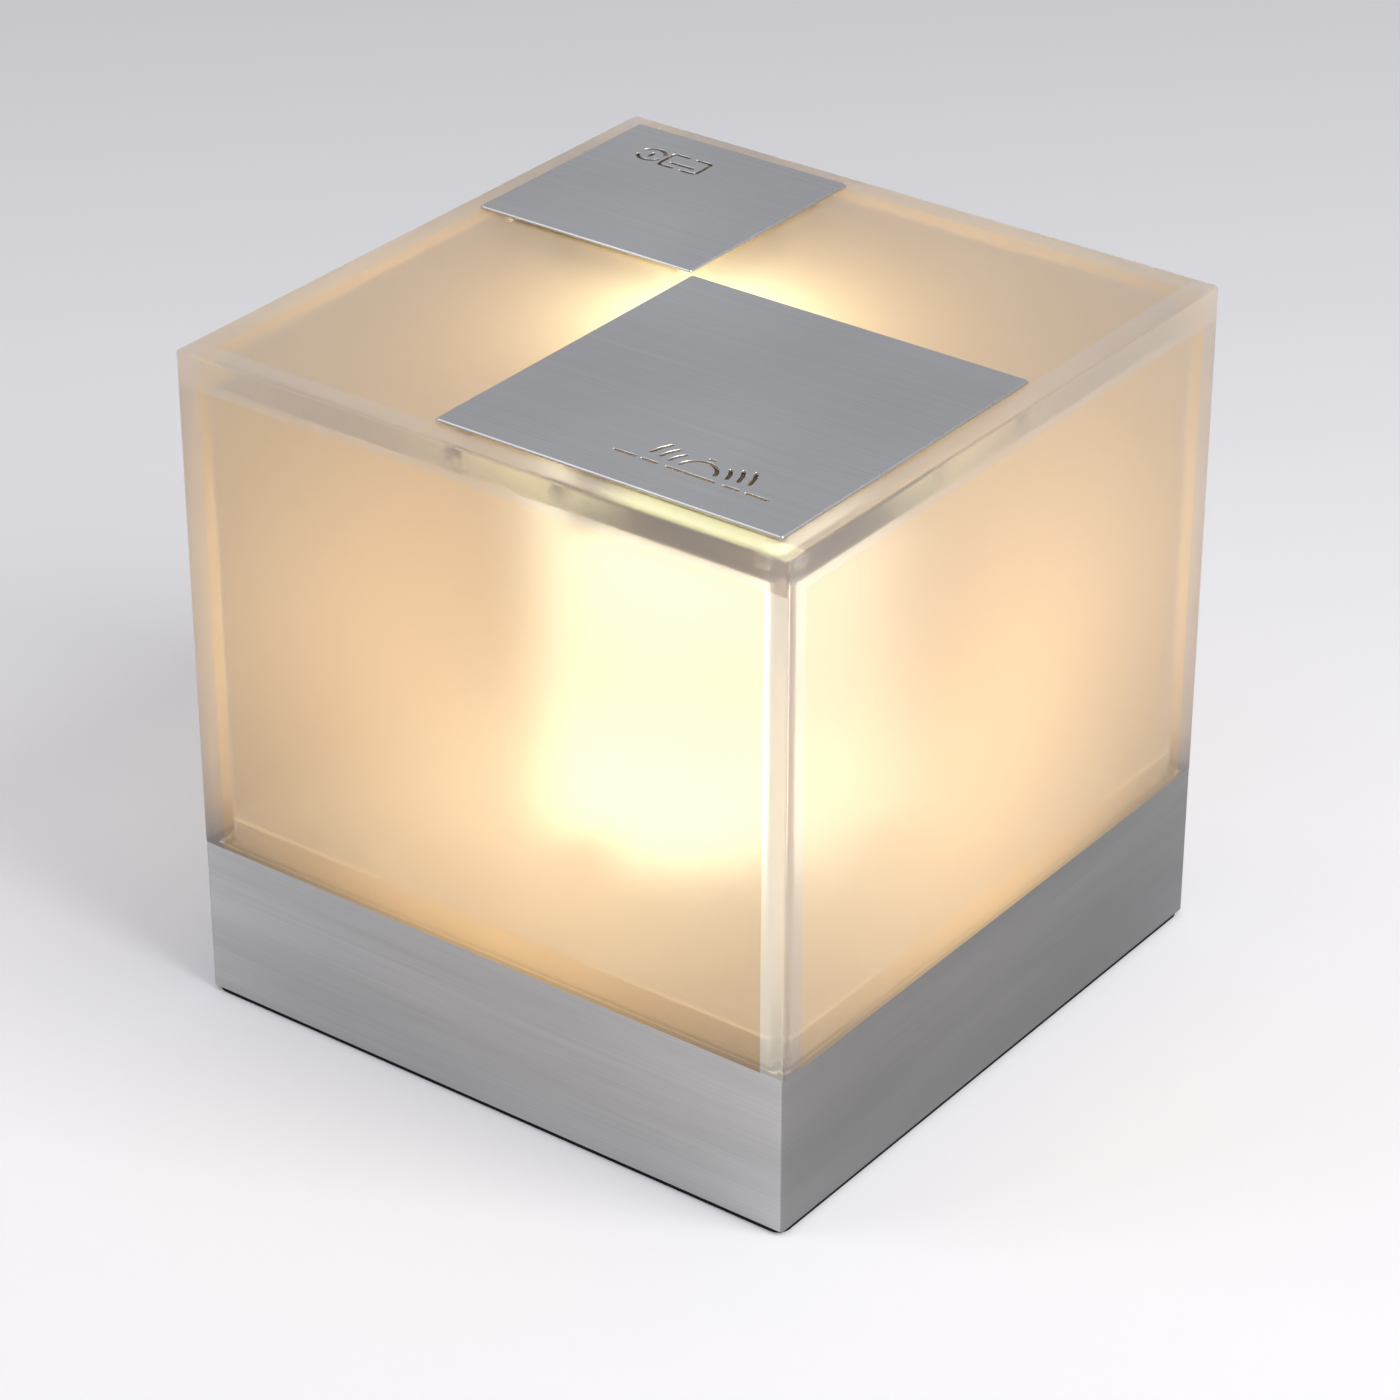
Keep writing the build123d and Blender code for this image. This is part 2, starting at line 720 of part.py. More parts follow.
def flex(sign, centre):
    """Flat flex from the junction board up through the grommet to a switch board."""
    end = switch_connector_reach(centre) - flex_connector_size[1] / 2
    height = switch_board_low - flex_connector_size[2] / 2
    plane = diagonal_plane(sign)
    points = ((flex_offset, junction_connector_top), (flex_offset, height), (end, height))
    bend = min(flex_bend_radius, (end - flex_offset) * flex_bend_share)
    route = FilletPolyline(*points, radius=bend)
    strip = plane * trace(route, flex_thickness)
    return extrude(strip, flex_width / 2, both=True)


# ---- buttons -------------------------------------------------------------------------------
def pin_places(plate_side):
    """Offsets of the guide pins from a plate's centre."""
    reach = plate_side / 2 - pin_inset
    return [(sx * reach, sy * reach) for sx, sy in CORNERS]


def bracket_screw_places():
    """Offsets of the two bracket screws, on the diagonal that no flex crosses."""
    reach = switch_board_side / 2 - bracket_leg_side / 2
    return [(-reach, -reach), (reach, reach)]


def press_plate(side):
    """Steel plate with a small chamfer round its upper edge."""
    outline = RectangleRounded(side, side, plate_corner_radius)
    plate = extrude(Pos(0, 0, plate_low) * outline, plate_thickness)
    return chamfer(plate.faces().sort_by(Axis.Z)[-1].edges(), plate_edge_chamfer)


def plunger():
    """Stud welded under the plate, with a groove for its clip."""
    stud = rod(plunger_radius, plunger_low, plate_low)
    stud += rod(plunger_flange_radius, plate_low - plunger_flange_thickness, plate_low)
    groove = ring(plunger_radius + overrun, plunger_radius - clip_groove_depth,
                  clip_low - clip_groove_gap, nose_low + clip_groove_gap)
    return stud - groove


def retaining_clip():
    """Open ring in the plunger's groove; it stops the plate's rise at the bush."""
    inner = plunger_radius - clip_groove_depth + clip_groove_gap
    clip = ring(clip_outer_radius, inner, clip_low, nose_low)
    return clip - block(clip_outer_radius + overrun, clip_opening, clip_low - overrun,
                        nose_low + overrun, (clip_outer_radius + overrun) / 2)


def guide_pins(plate_side):
    """Four pins welded under the plate; they keep it level and square."""
    pins = Part()
    for dx, dy in pin_places(plate_side):
        pins += rod(pin_radius, plate_low - pin_length, plate_low, dx, dy)
    return pins


def guide_bush():
    """Flanged bush in the shell's top: bore for the plunger, pocket for the spring."""
    bush = rod(bush_radius, shell_ceiling, shell_top - bush_top_gap)
    bush += block(bush_flange_side, bush_flange_side, bush_low, shell_ceiling)
    bush += rod(bush_nose_radius, nose_low, bush_low)
    bush -= rod(spring_pocket_radius, pocket_floor, shell_top)
    return bush - rod(plunger_radius + plunger_gap, nose_low - overrun, shell_top)


def return_spring():
    """Compression spring of square wire, from the pocket's floor to the plate."""
    low = pocket_floor + spring_end_gap + spring_wire / 2
    height = plate_low - spring_end_gap - spring_wire / 2 - low
    steps = round(spring_turns * spring_sides)
    points = []
    for step in range(steps + 1):
        angle = 2 * pi * step / spring_sides
        points.append((spring_radius * cos(angle), spring_radius * sin(angle),
                       low + height * step / steps))
    path = Polyline(*points)
    start = Plane(origin=path @ 0, z_dir=path % 0)
    return sweep(start * Rectangle(spring_wire, spring_wire), path=path,
                 transition=Transition.RIGHT)


def switch_actuator():
    """Small post of the switch, which the plunger pushes."""
    low = switch_board_top + switch_wall_below + plate_travel + actuator_end_gap
    return rod(actuator_radius, low, plunger_low)


def switch_body():
    """Switch housing with a blind well for its post."""
    body = block(switch_side, switch_side, switch_board_top, switch_top)
    return body - rod(actuator_radius + actuator_gap, switch_board_top + switch_wall_below,
                      switch_top + overrun)


def switch_board():
    """Small board that carries the switch under a plate."""
    board = block(switch_board_side, switch_board_side, switch_board_low, switch_board_top)
    for dx, dy in bracket_screw_places():
        board -= rod(small_screw_radius + clearance_gap, switch_board_low - overrun,
                     switch_board_top + overrun, dx, dy)
    return board


def switch_bracket():
    """Moulded frame under the shell's ceiling, with four legs that carry the board."""
    frame = block(switch_board_side, switch_board_side, bracket_plate_low, shell_ceiling)
    reach = switch_board_side / 2 - bracket_leg_side / 2
    for sx, sy in CORNERS:
        frame += block(bracket_leg_side, bracket_leg_side, switch_board_top, bracket_plate_low,
                       sx * reach, sy * reach)
    hole = bush_flange_side + 2 * bracket_hole_gap
    frame -= block(hole, hole, bracket_plate_low - overrun, shell_ceiling + overrun)
    for dx, dy in bracket_screw_places():
        frame -= rod(small_screw_radius + clearance_gap, switch_board_top - overrun,
                     shell_ceiling + overrun, dx, dy)
    return frame


def bracket_screws():
    """Two screws up through board and bracket into the shell's top."""
    screws = Part()
    for dx, dy in bracket_screw_places():
        screws += pan_screw(bracket_screw_length, switch_board_low - small_screw_head_height,
                            dx, dy)
    return screws


def save_button(name, centre, plate_side):
    """Writes every piece of one button."""
    pieces = {
        "plate": press_plate(plate_side),
        "plunger": plunger(),
        "retaining_clip": retaining_clip(),
        "guide_pins": guide_pins(plate_side),
        "switch_actuator": switch_actuator(),
        "guide_bush": guide_bush(),
        "return_spring": return_spring(),
        "switch_bracket": switch_bracket(),
        "switch_board": switch_board(),
        "switch_body": switch_body(),
        "bracket_screws": bracket_screws(),
    }
    for piece, shape in pieces.items():
        save(f"{name}_{piece}", Pos(*centre, 0) * shape)


# ---- the whole device ----------------------------------------------------------------------
os.makedirs("parts", exist_ok=True)

save("diffuser_shell", diffuser_shell())
save("base_collar", base_collar())
save("collar_lugs", collar_lugs())
save("base_chassis", base_chassis())
save("shell_seal", shell_seal())
save("bottom_cover", bottom_cover())
save("foot_pad", foot_pad())
save("cover_screws", cover_screws())

save("battery_cell", battery_cell())
save("battery_lower_pad", battery_pad(ferrite_top))
save("battery_upper_pad", battery_pad(battery_top))
save("battery_leads", battery_leads())
save("charging_coil", charging_coil())
save("coil_ferrite", coil_ferrite())
save("coil_leads", coil_leads())

save("main_board", main_board())
save("board_screws", board_screws())
save("radio_module", on_board_underside(radio_size, radio_place[0],
                                        main_board_front + radio_place[1]))
save("power_chip", on_board_underside(power_chip_size, power_chip_place[0],
                                      main_board_front + power_chip_place[1]))
save("battery_connector", on_board_underside(battery_connector_size, battery_connector_x,
                                             connector_y))
save("coil_connector", on_board_underside(coil_connector_size, coil_connector_x, connector_y))
save("trunk_connector", trunk_connector())

save("light_core", light_core())
save("core_grommet", core_grommet())
save("led_mast", led_mast())
save("mast_screws", mast_screws())
save("led_strips", led_strips())
save("led_emitters", led_emitters())
save("junction_board", junction_board())
save("trunk_ribbon", trunk_ribbon())
save("flex_connectors", flex_connectors())
save("call_flex", flex(1, call_centre))
save("bill_flex", flex(-1, bill_centre))

save_button("call", call_centre, call_plate_side)
save_button("bill", bill_centre, bill_plate_side)

spring_gap = (plate_low - pocket_floor - 2 * spring_end_gap - spring_wire) / spring_turns
print(f"return spring: clear gap between turns {spring_gap - spring_wire:.2f} mm")
print(f"lead bends: radius {lead_bend_radius} mm on wire of {2 * lead_radius} mm")
print(f"overall height {plate_top:.2f} mm")
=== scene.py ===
"""Looks of a table-top call device: a lit frosted cube on a steel band, with two press plates."""

import json
from math import cos, hypot, pi, radians, sin
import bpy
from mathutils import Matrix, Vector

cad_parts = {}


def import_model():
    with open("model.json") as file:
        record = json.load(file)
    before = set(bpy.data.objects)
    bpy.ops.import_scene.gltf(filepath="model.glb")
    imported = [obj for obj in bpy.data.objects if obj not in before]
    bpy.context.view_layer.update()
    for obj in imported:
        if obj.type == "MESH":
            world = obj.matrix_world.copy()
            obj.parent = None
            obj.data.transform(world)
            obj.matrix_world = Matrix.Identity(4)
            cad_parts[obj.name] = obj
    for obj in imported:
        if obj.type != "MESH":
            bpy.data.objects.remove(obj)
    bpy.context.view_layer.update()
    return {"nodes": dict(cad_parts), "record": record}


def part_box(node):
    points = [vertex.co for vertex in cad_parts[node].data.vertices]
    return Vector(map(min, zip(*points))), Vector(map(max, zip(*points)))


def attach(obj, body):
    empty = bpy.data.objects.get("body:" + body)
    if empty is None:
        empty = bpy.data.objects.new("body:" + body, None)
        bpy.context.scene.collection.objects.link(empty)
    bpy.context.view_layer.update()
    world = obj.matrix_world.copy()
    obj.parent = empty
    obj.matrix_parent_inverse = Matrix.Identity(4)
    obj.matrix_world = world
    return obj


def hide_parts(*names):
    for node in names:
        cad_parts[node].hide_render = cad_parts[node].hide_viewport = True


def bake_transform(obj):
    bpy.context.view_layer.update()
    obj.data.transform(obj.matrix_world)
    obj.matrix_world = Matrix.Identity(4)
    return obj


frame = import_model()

from types import SimpleNamespace

import bmesh
import bpy
from mathutils import Vector

MM = 0.001
nodes = frame["nodes"]
slot_of = {part["node"]: part["material_slot"] for part in frame["record"]["subparts"]}

# ---- places, from the frame ------------------------------------------------------------------
shell_low, shell_high = (Vector(corner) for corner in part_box("diffuser_shell"))
core_low, core_high = (Vector(corner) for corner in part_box("light_core"))
half_side = shell_high.x
wall = 3.0 * MM  # thickness of the shell's sides
slab = 4.0 * MM  # thickness of its top
inner_corner = 0.6 * MM  # radius of the hollow's upright corners
skin = 0.1 * MM  # what counts as on the shell's outside
deck_height = core_low.z  # the moulded deck that the core stands on
glow_height = (core_low.z + core_high.z) / 2 - 1 * MM  # brightest height of the sides

# ---- the photograph's camera -----------------------------------------------------------------
camera_yaw = radians(36.76)
camera_pitch = radians(29.73)
camera_distance = 0.5097
camera_target = Vector((0.0067, -0.0098, 0.04))
camera_lens_mm = 119.96
camera_sensor_mm = 36.0

# ---- colours and spreads ---------------------------------------------------------------------
lamp_warm = (0.74, 0.76, 0.65)  # the light core itself

# The core's light once the acrylic has scattered it, painted on the shell by place as glow, though
# the shell is no lamp.
side_painted_glow = (0.385, 0.255, 0.125)
side_spread = (42 * MM, 38 * MM)  # sideways and upwards
top_painted_glow = (0.85, 0.54, 0.24)
top_spread = 27 * MM
spot_painted_glow = (0.6, 1.25, 0.80)  # painted glow over the core, between the plates
spot_spread = 12 * MM
band_painted_glow = (0.18, 0.11, 0.03)  # painted glow inside the walls, below the deck
band_spread = 36 * MM
deck_line_painted_highlight = (0.25, 0.19, 0.10)  # painted highlight: a thin bright line where the deck meets the walls
line_height = 0.35 * MM
post_painted_glow = (0.02, 0.02, 0.03)  # painted glow on the four upright corners
slab_painted_glow = (0.05, 0.04, 0.03)  # painted glow on the sides of the top
strip_painted_glow = (0.30, 0.33, 0.11)  # painted glow on the rim before the larger plate, on the front side only
strip_start = (14 * MM, 21 * MM)
strip_end = 33 * MM
strip_end_share = 0.6
front_post_painted_glow = (0.25, 0.27, 0.23)  # painted glow on the front face's post on that side
front_foot_share = 0.65

inner_tint = (0.86, 0.75, 0.60)  # the acrylic's inner faces
outer_tint = (0.90, 0.79, 0.66)
rim_painted_pale_tint = (0.93, 0.90, 0.88)  # its outside over solid acrylic, painted paler to stand in for light scattered there
steel_light = (0.66, 0.66, 0.66)
steel_dark = (0.58, 0.58, 0.58)


# ---- materials -------------------------------------------------------------------------------
class Shader:
    """One material, with short ways to add nodes to it."""

    def __init__(self, name):
        self.material = bpy.data.materials.new(name)
        self.material.use_nodes = True
        self.tree = self.material.node_tree
        self.tree.nodes.clear()
        self.output = self.add("ShaderNodeOutputMaterial")

    def add(self, kind, **values):
        node = self.tree.nodes.new(kind)
        for key, value in values.items():
            setattr(node, key, value)
        return node

    def feed(self, socket, value):
        """Links an output to the socket, or sets a plain value on it."""
        if isinstance(value, bpy.types.NodeSocket):
            self.tree.links.new(value, socket)
        elif value is not None:
            socket.default_value = value

    def principled(self, **inputs):
        """The one shader of most materials, linked to the output."""
        node = self.add("ShaderNodeBsdfPrincipled")
        for key, value in inputs.items():
            self.feed(node.inputs[key.replace("_", " ")], value)
        self.feed(self.output.inputs["Surface"], node.outputs[0])
        return self.material

    def place(self):
        """The place on the object, in metres."""
        return self.add("ShaderNodeTexCoord").outputs["Object"]

    def along(self, axis):
        """The place along one axis, in metres."""
        split = self.add("ShaderNodeSeparateXYZ")
        self.feed(split.inputs[0], self.place())
        return split.outputs["XYZ".index(axis)]

    def facing(self, axis):
        """How far the surface faces along one axis, either way."""
        split = self.add("ShaderNodeSeparateXYZ")
        self.feed(split.inputs[0], self.add("ShaderNodeTexCoord").outputs["Normal"])
        return self.math("ABSOLUTE", split.outputs["XYZ".index(axis)])

    def math(self, operation, first, second=None):
        node = self.add("ShaderNodeMath", operation=operation)
        self.feed(node.inputs[0], first)
        self.feed(node.inputs[1], second)
        return node.outputs[0]

    def scaled(self, scale, centre=(0, 0, 0)):
        """The place from a centre, scaled along each axis."""
        shift = self.add("ShaderNodeVectorMath", operation="SUBTRACT")
        self.feed(shift.inputs[0], self.place())
        self.feed(shift.inputs[1], centre)
        stretch = self.add("ShaderNodeVectorMath", operation="MULTIPLY")
        self.feed(stretch.inputs[0], shift.outputs[0])
        self.feed(stretch.inputs[1], scale)
        return stretch.outputs[0]

    def product(self, *fields):
        """The product of some fields."""
        whole = fields[0]
        for field in fields[1:]:
            whole = self.math("MULTIPLY", whole, field)
        return whole

    def tinted(self, colour, *fields):
        """A colour times some fields."""
        node = self.add("ShaderNodeVectorMath", operation="SCALE")
        self.feed(node.inputs[0], colour)
        self.feed(node.inputs["Scale"], self.product(*fields))
        return node.outputs[0]

    def total(self, *colours):
        """The sum of some colours."""
        whole = colours[0]
        for colour in colours[1:]:
            node = self.add("ShaderNodeVectorMath", operation="ADD")
            self.feed(node.inputs[0], whole)
            self.feed(node.inputs[1], colour)
            whole = node.outputs[0]
        return whole

    def fading(self, power, *offsets):
        """1 where every distance is 0; it falls with the squares of distance over spread."""
        whole = 1.0
        for distance, spread in offsets:
            part = self.math("DIVIDE", distance, spread)
            whole = self.math("ADD", self.math("MULTIPLY", part, part), whole)
        return self.math("POWER", whole, -power)

    def step(self, value, place, width=0.05 * MM):
        """0 below a place and 1 above it."""
        return self.between(value, place - width / 2, place + width / 2)

    def opposite(self, field):
        """1 less the field."""
        return self.math("SUBTRACT", 1.0, field)

    def length(self, vector):
        node = self.add("ShaderNodeVectorMath", operation="LENGTH")
        self.feed(node.inputs[0], vector)
        return node.outputs["Value"]

    def noise(self, vector, scale=1.0, detail=2.0, roughness=0.5):
        node = self.add("ShaderNodeTexNoise")
        self.feed(node.inputs["Vector"], vector)
        self.feed(node.inputs["Scale"], scale)
        self.feed(node.inputs["Detail"], detail)
        self.feed(node.inputs["Roughness"], roughness)
        return node.outputs["Fac"]

    def cells(self, scale):
        node = self.add("ShaderNodeTexVoronoi")
        self.feed(node.inputs["Vector"], self.place())
        self.feed(node.inputs["Scale"], scale)
        return node.outputs["Distance"]

    def between(self, value, low, high, to_low=0.0, to_high=1.0, kind="LINEAR"):
        """Maps low to to_low and high to to_high, and holds both beyond them."""
        node = self.add("ShaderNodeMapRange", interpolation_type=kind)
        for name, number in (("Value", value), ("From Min", low), ("From Max", high)):
            self.feed(node.inputs[name], number)
        self.feed(node.inputs["To Min"], to_low)
        self.feed(node.inputs["To Max"], to_high)
        return node.outputs["Result"]

    def blend(self, share, first, second, kind="MIX"):
        """Two colours mixed."""
        node = self.add("ShaderNodeMix", data_type="RGBA", blend_type=kind)
        factor, first_colour, second_colour = node.inputs[0], node.inputs[6], node.inputs[7]
        self.feed(factor, share)
        for socket, colour in ((first_colour, first), (second_colour, second)):
            self.feed(socket, (*colour, 1.0) if isinstance(colour, tuple) else colour)
        return node.outputs[2]

    def bump(self, height, depth, strength=1.0):
        node = self.add("ShaderNodeBump")
        self.feed(node.inputs["Distance"], depth)
        self.feed(node.inputs["Strength"], strength)
        self.feed(node.inputs["Height"], height)
        return node.outputs["Normal"]


def shade(colour, share):
    """The colour made darker, to a share of itself."""
    return tuple(share * part for part in colour)


def grained(name, colour, roughness, metallic=0.0, scale=900.0, depth=0.02 * MM, specular=0.5):
    """Evenly finished plastic, rubber or metal, with a fine grain and slight changes of tone."""
    s = Shader(name)
    grain = s.noise(s.place(), scale, 3.0, 0.6)
    tone = s.noise(s.place(), scale / 12, 2.0, 0.5)
    mottled = s.blend(s.between(tone, 0.35, 0.65), shade(colour, 0.88), colour)
    return s.principled(
        Base_Color=mottled,
        Metallic=metallic,
        Specular_IOR_Level=specular,
        Roughness=s.between(grain, 0.3, 0.7, roughness - 0.06, roughness + 0.06),
        Normal=s.bump(grain, depth, 0.5),
    )


def shell_regions(s):
    """Where on the shell a point is: its distances, and fields of 0 and 1."""
    x, y, z = (s.math("ABSOLUTE", s.along(axis)) for axis in "XYZ")
    across, out = s.math("MINIMUM", x, y), s.math("MAXIMUM", x, y)
    on_side = s.step(out, half_side - skin)
    on_top = s.step(z, shell_high.z - skin)
    outside = s.math("MAXIMUM", on_side, on_top)
    post = s.step(across, half_side - wall)
    slab_side = s.product(on_side, s.step(z, shell_high.z - slab))
    slab_rim = s.product(on_top, s.step(out, half_side - wall))
    solid = s.math("MAXIMUM", post, s.math("MAXIMUM", slab_side, slab_rim))
    return SimpleNamespace(
        x=x,
        y=y,
        z=z,
        across=across,
        on_side=on_side,
        on_top=on_top,
        outside=outside,
        inside=s.opposite(outside),
        post=post,
        slab_side=slab_side,
        slab_rim=slab_rim,
        solid=solid,
        hollow=s.opposite(solid),
        by_wall=s.step(out, half_side - wall - inner_corner),
    )


def even_glow(s, at):
    """Painted glow that is alike on all sides: on faces and top and inside the walls, with a painted
    highlight line at the deck.
    """
    up = s.math("SUBTRACT", at.z, glow_height)
    side = s.fading(2.0, (at.across, side_spread[0]), (up, side_spread[1]))
    top = s.fading(3.0, (at.x, top_spread), (at.y, top_spread))
    spot = s.fading(3.0, (at.x, spot_spread), (at.y, spot_spread))
    band = s.fading(2.0, (at.across, band_spread))
    above_deck = s.step(at.z, deck_height)
    line = s.product(above_deck, s.opposite(s.step(at.z, deck_height + line_height)))
    near_post = s.between(at.across, 0.0, half_side - wall, kind="SMOOTHSTEP")
    # each term is painted glow, and the deck's line is a painted highlight
    return s.total(
        s.tinted(side_painted_glow, side, at.on_side, at.hollow),
        s.tinted(top_painted_glow, top, at.on_top, at.hollow),
        s.tinted(spot_painted_glow, spot, at.on_top, at.hollow),
        s.tinted(slab_painted_glow, at.slab_side),
        s.tinted(band_painted_glow, band, s.opposite(above_deck), at.by_wall, at.inside),
        s.tinted(post_painted_glow, at.post, at.outside),
        s.tinted(deck_line_painted_highlight, line, near_post, at.by_wall, at.inside),
    )


def front_glow(s, at):
    """Painted glow beside the larger plate, on the front side only: on the rim before it and on the
    front's post.
    """
    right = s.along("X")
    forward = s.math("MULTIPLY", s.along("Y"), -1.0)
    begins = s.between(right, *strip_start, kind="SMOOTHSTEP")
    ends = s.between(right, strip_end, half_side, 1.0, strip_end_share)
    strip = s.product(begins, ends, s.step(forward, half_side - wall))
    front_post = s.product(s.step(right, half_side - wall), s.step(forward, half_side - skin))
    rising = s.between(at.z, shell_low.z, glow_height, front_foot_share, 1.0)
    # painted glow on one side only, none on the other three
    return s.total(
        s.tinted(strip_painted_glow, strip, at.slab_rim),
        s.tinted(front_post_painted_glow, front_post, rising, s.opposite(at.slab_side)),
    )


def frosted_acrylic(name):
    """Clear acrylic, satin outside and inside; the core's light scattered in it is painted on as
    glow by place.
    """
    s = Shader(name)
    at = shell_regions(s)
    grain = s.noise(s.place(), 2500.0, 2.0, 0.5)
    return s.principled(
        # the rim's tint is painted paler, standing in for scattered light
        Base_Color=s.blend(at.outside, inner_tint, s.blend(at.solid, outer_tint, rim_painted_pale_tint)),
        Roughness=s.between(at.outside, 0.0, 1.0, 0.28, 0.30),
        IOR=1.49,
        Transmission_Weight=0.8,
        Normal=s.bump(grain, 0.004 * MM, 0.3),
        # painted glow and highlights by place on the shell, standing in for the core's scattered
        # light
        Emission_Color=s.total(even_glow(s, at), front_glow(s, at)),
        Emission_Strength=1.0,
    )


def brushed_collar(name):
    """Straight grain round the band with random mottling; painted shade darkens the two faces facing
    X and lightens the two facing Y, and a painted highlight brightens each face towards its corners.
    """
    s = Shader(name)
    streaks = s.noise(s.scaled((30, 30, 5000)), 1.0, 4.0, 0.65)
    clouds = s.noise(s.scaled((18, 18, 160)), 1.0, 2.0, 0.5)
    grain = s.blend(s.between(streaks, 0.3, 0.7), steel_dark, steel_light)
    # painted shade: faces facing X darker, faces facing Y lighter
    painted_face_shade = s.between(s.facing("X"), 0.4, 0.6, 1.18, 0.68)
    # painted highlight: brighter towards each face's corners
    lateral = s.math("MINIMUM", *(s.math("ABSOLUTE", s.along(axis)) for axis in "XY"))
    to_corner = s.math("POWER", s.math("DIVIDE", lateral, half_side), 4.0)
    ends = s.between(to_corner, 0.0, 1.0, 1.0, 1.12)
    # painted shade and highlight, times random mottling
    tone = s.product(painted_face_shade, ends, s.between(clouds, 0.35, 0.7, 0.92, 1.08))
    grey = s.add("ShaderNodeCombineColor")
    for socket in grey.inputs:
        s.feed(socket, tone)
    return s.principled(
        Base_Color=s.blend(1.0, grain, grey.outputs[0], "MULTIPLY"),
        Metallic=1.0,
        Roughness=s.between(streaks, 0.3, 0.7, 0.28, 0.42),
        Normal=s.bump(streaks, 0.02 * MM, 0.35),
    )


def brushed_plate(name):
    """Long straight grain over faint turning marks about the plate's centre, with a painted sheen in
    large soft patches.
    """
    s = Shader(name)
    straight = s.noise(s.scaled((30, 6000, 6000)), 1.0, 4.0, 0.65)
    from_middle = s.add("ShaderNodeCombineXYZ")
    s.feed(from_middle.inputs[0], s.length(s.scaled((5000, 5000, 0))))
    rings = s.noise(from_middle.outputs[0], 1.0, 2.0, 0.6)
    # painted sheen: large soft patches a little lighter and darker
    sheen = s.noise(s.scaled((38, 24, 0), (0.003, 0.004, 0)), 1.0, 1.0, 0.4)
    grain = s.blend(s.between(straight, 0.3, 0.7), steel_dark, steel_light)
    return s.principled(
        Base_Color=s.tinted(grain, s.between(sheen, 0.3, 0.7, 0.93, 1.08)),
        Metallic=1.0,
        Roughness=s.between(straight, 0.3, 0.7, 0.25, 0.4),
        Normal=s.bump(s.blend(0.5, straight, rings), 0.02 * MM, 0.3),
    )


def glowing(name, strength):
    """Opal tube that gives the light, more of it towards its ends."""
    s = Shader(name)
    cloud = s.between(s.noise(s.place(), 120.0), 0.3, 0.7, strength * 0.95, strength * 1.05)
    middle, reach = (core_high.z + core_low.z) / 2, (core_high.z - core_low.z) / 2
    off_middle = s.math("ABSOLUTE", s.math("SUBTRACT", s.along("Z"), middle))
    rise = s.between(off_middle, 0.0, reach, 1.0, 1.5)
    return s.principled(
        Base_Color=(0.9, 0.88, 0.8, 1),
        Roughness=0.5,
        Emission_Color=(*lamp_warm, 1),
        Emission_Strength=s.math("MULTIPLY", cloud, rise),
    )


def circuit_board(name, mask):
    """Lacquered board with faint tracks under the lacquer."""
    s = Shader(name)
    tracks = s.cells(700.0)
    return s.principled(
        Base_Color=s.blend(s.between(tracks, 0.25, 0.3), shade(mask, 0.7), mask),
        Roughness=0.3,
        Normal=s.bump(tracks, 0.03 * MM, 0.3),
    )


def foam(name, colour):
    """Closed-cell foam, its pits painted darker as shade in them."""
    s = Shader(name)
    pore_pits_and_shade = s.cells(1800.0)
    return s.principled(
        # painted shade: the pits darker than the foam around them
        Base_Color=s.blend(s.between(pore_pits_and_shade, 0.1, 0.6), shade(colour, 0.5), colour),
        Roughness=0.9,
        Normal=s.bump(pore_pits_and_shade, 0.15 * MM, 0.6),
    )


# Colour and roughness, then what differs from grained's own values: how metallic it is, the
# grain's scale and depth, and the specular level.
finishes = {
    "stud_steel": ((0.58, 0.58, 0.58), 0.3, 1.0, 3000.0, 0.005 * MM),
    "screw_steel": ((0.62, 0.61, 0.6), 0.25, 1.0, 3000.0, 0.004 * MM),
    "spring_steel": ((0.5, 0.5, 0.51), 0.25, 1.0, 4000.0, 0.003 * MM),
    "shield_tin": ((0.72, 0.71, 0.68), 0.32, 1.0, 2000.0, 0.004 * MM),
    "mast_aluminium": ((0.82, 0.82, 0.82), 0.35, 1.0, 2500.0, 0.005 * MM),
    "copper": ((0.83, 0.42, 0.26), 0.3, 1.0, 3000.0, 0.01 * MM),
    "foot_rubber": ((0.012, 0.012, 0.012), 0.75, 0.0, 2200.0, 0.03 * MM, 0.2),
    "seal_silicone": ((0.8, 0.8, 0.76), 0.55, 0.0, 1500.0, 0.01 * MM),
    "pale_moulding": ((0.86, 0.83, 0.77), 0.5),
    "dark_moulding": ((0.05, 0.05, 0.052), 0.5),
    "acetal": ((0.85, 0.84, 0.8), 0.4),
    "connector_ivory": ((0.82, 0.76, 0.6), 0.45),
    "component_black": ((0.03, 0.03, 0.032), 0.45, 0.0, 3000.0),
    "ferrite": ((0.07, 0.065, 0.06), 0.6, 0.0, 2500.0),
    "lead_wire": ((0.5, 0.06, 0.04), 0.45, 0.0, 1500.0, 0.01 * MM),
    "cell_wrap": ((0.75, 0.76, 0.78), 0.3, 0.6, 400.0, 0.05 * MM),
    "flex_film": ((0.72, 0.38, 0.08), 0.28, 0.0, 800.0, 0.01 * MM),
}
materials = {
    "frosted_acrylic": frosted_acrylic("frosted_acrylic"),
    "brushed_steel": brushed_collar("brushed_steel"),
    **{slot: grained(slot, *finish) for slot, finish in finishes.items()},
    "board_green": circuit_board("board_green", mask=(0.02, 0.22, 0.08)),
    "board_white": circuit_board("board_white", mask=(0.85, 0.85, 0.83)),
    "foam": foam("foam", colour=(0.2, 0.2, 0.21)),
    "opal_core": glowing("opal_core", strength=1.8),
    "led_lens": glowing("led_lens", strength=4.0),
}
for name, node in nodes.items():
    node.data.materials.clear()
    node.data.materials.append(materials[slot_of[name]])


